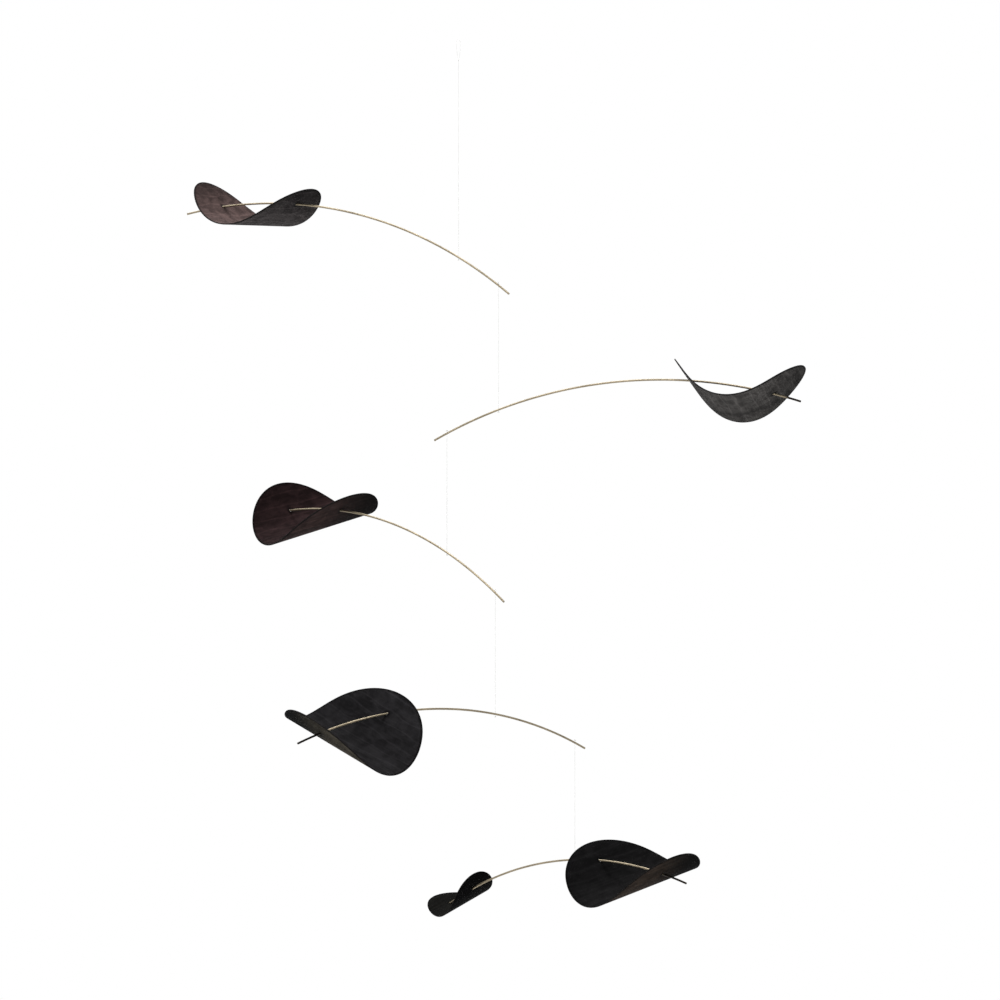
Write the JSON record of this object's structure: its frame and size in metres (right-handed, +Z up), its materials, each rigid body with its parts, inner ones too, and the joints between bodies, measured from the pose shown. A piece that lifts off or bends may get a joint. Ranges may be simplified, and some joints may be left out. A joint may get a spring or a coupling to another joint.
{
  "type": "hanging mobile sculpture",
  "caption": "Kinetic mobile: curved brass arms hung one below another on fine threads, each balancing a curled oval leaf of dark wood veneer.",
  "frame": {"origin": "top of the hanging loop", "axes": "+Z up along the threads, +X to the right and +Y away from the side the mobile is seen from"},
  "size_m": [0.6234, 0.4362, 0.8916],
  "materials": {
    "thread": "clear grey nylon thread, slightly glossy",
    "brass_wire": "drawn wire, satin, lightly darkened",
    "dark_veneer": "open-grained veneer stained black-brown, matt wax"
  },
  "bodies": {
    "hanger": {"hanging_loop": "thread", "loop_knot": "thread", "thread_1": "thread", "knot_under_arm_1": "thread"},
    "tier_1": {"arm_1": "brass_wire", "leaf_1": "dark_veneer", "knot_over_arm_1": "thread", "thread_2": "thread", "knot_under_arm_2": "thread"},
    "tier_2": {"arm_2": "brass_wire", "leaf_2": "dark_veneer", "knot_over_arm_2": "thread", "thread_3": "thread", "knot_under_arm_3": "thread"},
    "tier_3": {"arm_3": "brass_wire", "leaf_3": "dark_veneer", "knot_over_arm_3": "thread", "thread_4": "thread", "knot_under_arm_4": "thread"},
    "tier_4": {"arm_4": "brass_wire", "leaf_4": "dark_veneer", "knot_over_arm_4": "thread", "thread_5": "thread", "knot_under_arm_5": "thread"},
    "tier_5": {"arm_5": "brass_wire", "leaf_5": "dark_veneer", "leaf_6": "dark_veneer"}
  },
  "joints": [
    {"name": "swivel_1", "type": "hinge", "parent": "hanger", "child": "tier_1", "pos_m": [0, 0, -0.2173], "axis": [0, 0, 1], "continuous": true},
    {"name": "swivel_2", "type": "hinge", "parent": "tier_1", "child": "tier_2", "pos_m": [0.04, -0.02127, -0.37029], "axis": [0, 0, 1], "continuous": true},
    {"name": "swivel_3", "type": "hinge", "parent": "tier_2", "child": "tier_3", "pos_m": [-0.01153, -0.00452, -0.51246], "axis": [0, 0, 1], "continuous": true},
    {"name": "swivel_4", "type": "hinge", "parent": "tier_3", "child": "tier_4", "pos_m": [0.03689, -0.05466, -0.67076], "axis": [0, 0, 1], "continuous": true},
    {"name": "swivel_5", "type": "hinge", "parent": "tier_4", "child": "tier_5", "pos_m": [0.11668, 0.0147, -0.82122], "axis": [0, 0, 1], "continuous": true}
  ]
}
